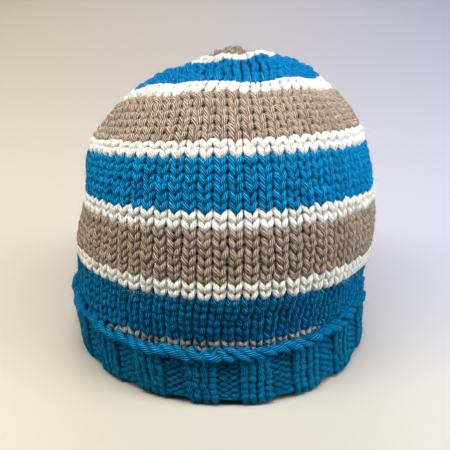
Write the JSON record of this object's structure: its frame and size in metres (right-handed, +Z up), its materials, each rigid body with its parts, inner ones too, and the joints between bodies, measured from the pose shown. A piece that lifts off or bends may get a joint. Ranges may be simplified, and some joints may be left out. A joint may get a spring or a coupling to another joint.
{
  "type": "knitted beanie",
  "caption": "Striped knitted beanie, hollow and open below, with a folded-up ribbed cuff and a gathered crown, standing on its fold.",
  "frame": {"origin": "middle of the hat's footprint box, on the surface that the fold of the cuff rests on", "axes": "+Z up towards the crown, -Y towards the front as pictured, +X to the right seen from the front"},
  "size_m": [0.136, 0.1352, 0.1275],
  "materials": {
    "blue_yarn": "soft plied wool, dull, slightly fuzzy",
    "white_yarn": "soft plied wool, dull, slightly fuzzy",
    "beige_yarn": "soft plied wool, dull, slightly fuzzy"
  },
  "bodies": {
    "root": {"ribbed_cuff": "blue_yarn", "hem_white_band": "white_yarn", "lower_blue_band": "blue_yarn", "lower_white_band": "white_yarn", "lower_beige_band": "beige_yarn", "middle_white_band": "white_yarn", "upper_blue_band": "blue_yarn", "upper_white_band": "white_yarn", "shoulder_beige_band": "beige_yarn", "shoulder_white_band": "white_yarn", "crown_blue_band": "blue_yarn", "crown_white_ring": "white_yarn", "crown_tip": "beige_yarn"}
  },
  "joints": []
}
